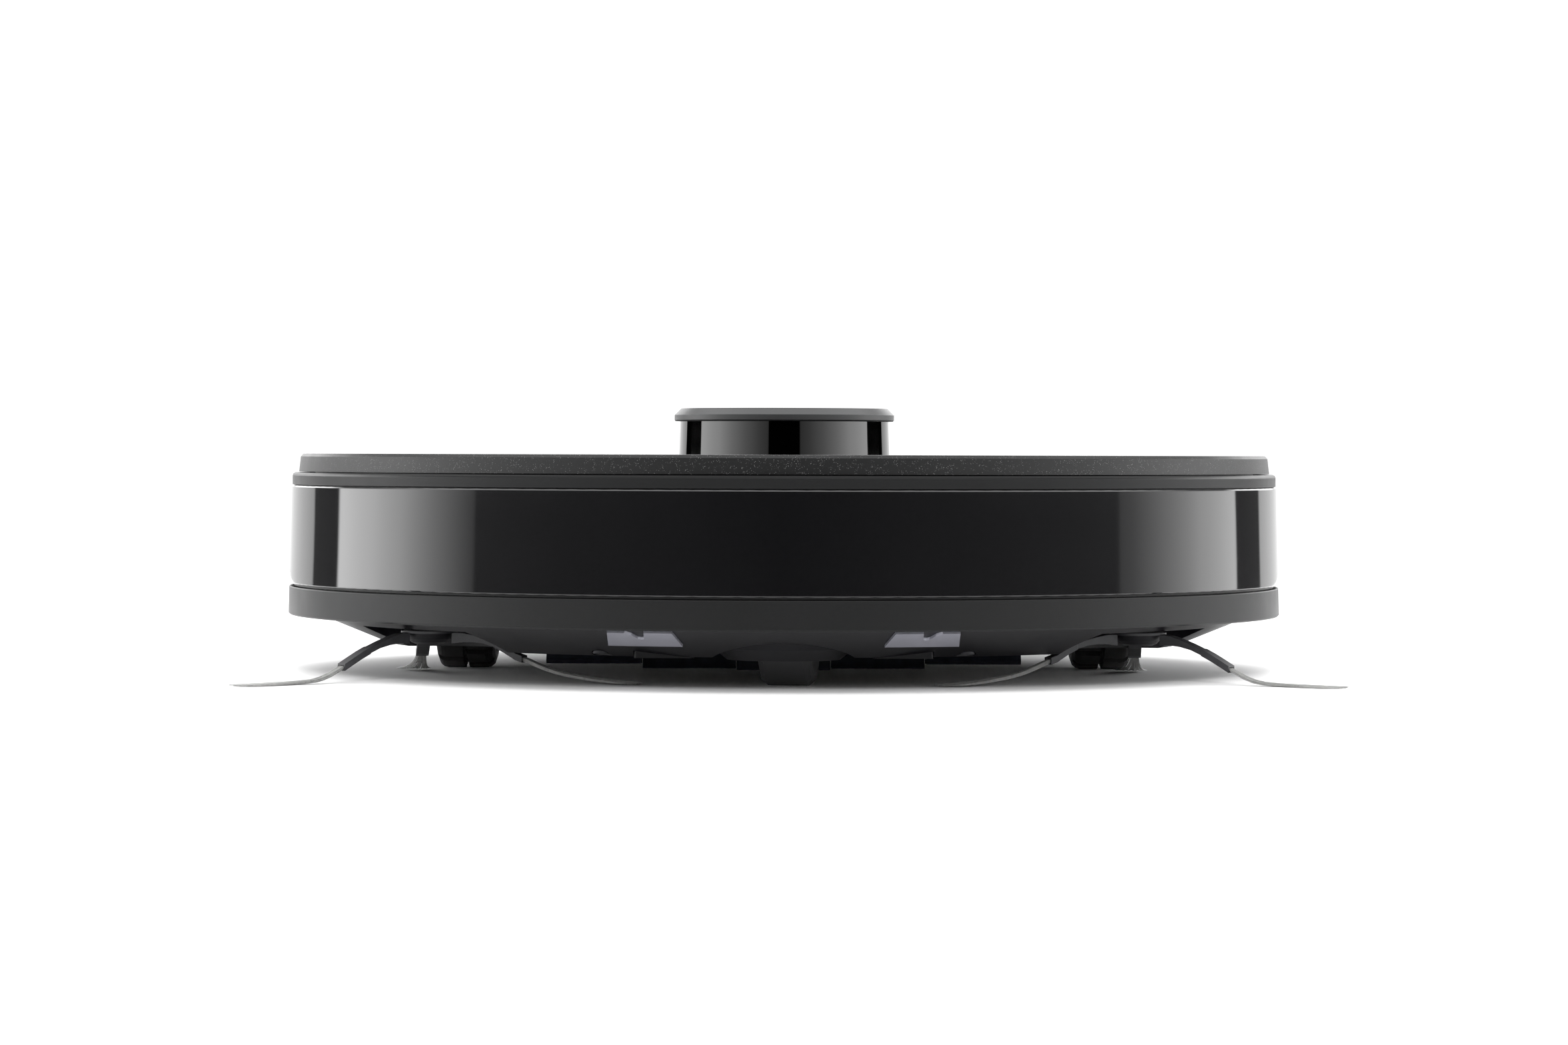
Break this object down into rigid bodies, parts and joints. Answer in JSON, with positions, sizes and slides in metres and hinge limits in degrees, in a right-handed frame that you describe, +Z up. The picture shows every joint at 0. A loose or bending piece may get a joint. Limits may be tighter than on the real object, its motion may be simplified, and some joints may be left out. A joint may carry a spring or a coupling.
{
  "type": "robot vacuum",
  "caption": "Round floor-cleaning robot with a sprung front bumper, spinning laser turret, side brushes, main brush, sprung drive wheels and a swivel caster.",
  "frame": {"origin": "on the floor, under the centre of the round body", "axes": "front (bumper) towards -Y, +X to the right seen from the front, +Z up"},
  "size_m": [0.3711, 0.353, 0.0936],
  "materials": {
    "deck_plastic": "matt dark grey with a fine metallic fleck",
    "bumper_plastic": "matt dark grey, fine grain",
    "sensor_window": "smoked, infrared clear",
    "hull_plastic": "smooth moulded plastic",
    "inner_plastic": "moulded plastic",
    "bumper_gloss": "high gloss, infrared clear",
    "turret_gloss": "high gloss, tinted",
    "cap_plastic": "satin",
    "contact_metal": "polished",
    "steel": "bright",
    "tyre_rubber": "matt",
    "rim_plastic": "satin",
    "arm_rubber": "soft satin",
    "bristle": "translucent nylon",
    "brush_rubber": "satin",
    "brush_core": "satin",
    "bin_plastic": "smoky clear",
    "filter_paper": "pleated paper",
    "latch_plastic": "satin",
    "board": "solder mask",
    "battery_wrap": "shrink wrap",
    "motor_metal": "plated",
    "lens_glass": "coated",
    "belt_rubber": "matt",
    "white_plastic": "satin"
  },
  "bodies": {
    "hull": {"chassis": "hull_plastic", "rear_skirt": "bumper_plastic", "top_deck": "deck_plastic", "lid_hinge_pins": "steel", "bumper_spring_left": "steel", "bumper_spring_right": "steel", "bumper_switch_left": "inner_plastic", "bumper_switch_right": "inner_plastic", "cliff_window_left": "sensor_window", "cliff_window_right": "sensor_window", "charging_contact_left": "contact_metal", "charging_contact_right": "contact_metal", "body_screws": "steel", "turret_window": "turret_gloss", "turret_cap": "cap_plastic", "lidar_base": "inner_plastic", "lidar_motor": "motor_metal", "lidar_belt": "belt_rubber", "side_gearbox_left": "inner_plastic", "side_gearbox_right": "inner_plastic", "main_brush_bearing": "white_plastic", "brush_gearbox": "inner_plastic", "brush_guard": "hull_plastic", "wheel_spring_left": "steel", "wheel_spring_right": "steel", "dustbin": "bin_plastic", "filter": "filter_paper", "air_duct": "inner_plastic", "fan_housing": "inner_plastic", "fan_motor": "motor_metal", "battery": "battery_wrap", "battery_cover": "hull_plastic", "main_board": "board"},
    "lid": {"lid": "deck_plastic"},
    "button": {"power_button": "cap_plastic"},
    "bumper": {"bumper_shell": "bumper_plastic", "bumper_window": "bumper_gloss"},
    "lidar_rotor": {"lidar_head": "inner_plastic", "lidar_lens": "lens_glass"},
    "lidar_drive": {"lidar_pulley": "white_plastic"},
    "side_brush_left": {"side_brush_hub_left": "hull_plastic", "side_brush_arms_left": "arm_rubber", "side_brush_bristles_left": "bristle"},
    "side_brush_right": {"side_brush_hub_right": "hull_plastic", "side_brush_arms_right": "arm_rubber", "side_brush_bristles_right": "bristle"},
    "main_brush": {"main_brush_core": "brush_core", "main_brush_fins": "brush_rubber", "brush_drive_gear": "white_plastic"},
    "latch_left": {"guard_latch_left": "latch_plastic"},
    "latch_right": {"guard_latch_right": "latch_plastic"},
    "wheel_carrier_left": {"wheel_arm_left": "inner_plastic"},
    "wheel_carrier_right": {"wheel_arm_right": "inner_plastic"},
    "wheel_left": {"wheel_rim_left": "rim_plastic", "wheel_tyre_left": "tyre_rubber"},
    "wheel_right": {"wheel_rim_right": "rim_plastic", "wheel_tyre_right": "tyre_rubber"},
    "caster_swivel": {"caster_fork": "hull_plastic"},
    "caster_roller": {"caster_wheel": "rim_plastic"},
    "fan_rotor": {"impeller": "white_plastic"}
  },
  "joints": [
    {"name": "lid_hinge", "type": "hinge", "parent": "hull", "child": "lid", "pos_m": [0, -0.004, 0.0741], "axis": [-1, 0, 0], "range_deg": [0, 75]},
    {"name": "button_press", "type": "slide", "parent": "hull", "child": "button", "axis": [0, 0, -1], "range_m": [0, 0.0008], "stiffness_N_per_m": 600, "springref_m": -0.0006},
    {"name": "bumper_press", "type": "slide", "parent": "hull", "child": "bumper", "axis": [0, 1, 0], "range_m": [0, 0.0025], "stiffness_N_per_m": 1500, "springref_m": -0.001, "deforming": ["bumper_spring_left", "bumper_spring_right"]},
    {"name": "lidar_spin", "type": "hinge", "parent": "hull", "child": "lidar_rotor", "pos_m": [0, 0.05, 0.07], "axis": [0, 0, 1], "continuous": true},
    {"name": "lidar_motor_spin", "type": "hinge", "parent": "hull", "child": "lidar_drive", "pos_m": [0.052, 0.05, 0.07], "axis": [0, 0, 1], "continuous": true},
    {"name": "side_brush_left_spin", "type": "hinge", "parent": "hull", "child": "side_brush_left", "pos_m": [-0.12, -0.09, 0.012], "axis": [0, 0, 1], "continuous": true, "deforming": ["side_brush_bristles_left"]},
    {"name": "side_brush_right_spin", "type": "hinge", "parent": "hull", "child": "side_brush_right", "pos_m": [0.12, -0.09, 0.012], "axis": [0, 0, 1], "continuous": true, "deforming": ["side_brush_bristles_right"]},
    {"name": "main_brush_spin", "type": "hinge", "parent": "hull", "child": "main_brush", "pos_m": [0, -0.022, 0.021], "axis": [1, 0, 0], "continuous": true},
    {"name": "latch_left_slide", "type": "slide", "parent": "hull", "child": "latch_left", "axis": [0, 1, 0], "range_m": [0, 0.003], "stiffness_N_per_m": 300, "springref_m": -0.001},
    {"name": "latch_right_slide", "type": "slide", "parent": "hull", "child": "latch_right", "axis": [0, 1, 0], "range_m": [0, 0.003], "stiffness_N_per_m": 300, "springref_m": -0.001},
    {"name": "wheel_left_drop", "type": "hinge", "parent": "hull", "child": "wheel_carrier_left", "pos_m": [-0.099, 0.054, 0.04], "axis": [1, 0, 0], "range_deg": [0, 18], "deforming": ["wheel_spring_left"]},
    {"name": "wheel_right_drop", "type": "hinge", "parent": "hull", "child": "wheel_carrier_right", "pos_m": [0.099, 0.054, 0.04], "axis": [1, 0, 0], "range_deg": [0, 18], "deforming": ["wheel_spring_right"]},
    {"name": "wheel_left_spin", "type": "hinge", "parent": "wheel_carrier_left", "child": "wheel_left", "pos_m": [-0.1133, 0.006, 0.033], "axis": [1, 0, 0], "continuous": true},
    {"name": "wheel_right_spin", "type": "hinge", "parent": "wheel_carrier_right", "child": "wheel_right", "pos_m": [0.1133, 0.006, 0.033], "axis": [1, 0, 0], "continuous": true},
    {"name": "caster_turn", "type": "hinge", "parent": "hull", "child": "caster_swivel", "pos_m": [0, -0.1287, 0.02], "axis": [0, 0, 1], "continuous": true},
    {"name": "caster_roll", "type": "hinge", "parent": "caster_swivel", "child": "caster_roller", "pos_m": [0.0018, -0.11734, 0.013], "axis": [0.9877, -0.1564, 0], "continuous": true},
    {"name": "fan_spin", "type": "hinge", "parent": "hull", "child": "fan_rotor", "pos_m": [-0.066, 0.096, 0.052], "axis": [0, 0, 1], "continuous": true}
  ],
  "couplings": [
    {"joint": "lidar_motor_spin", "follows": "lidar_spin", "ratio": 5.83}
  ]
}
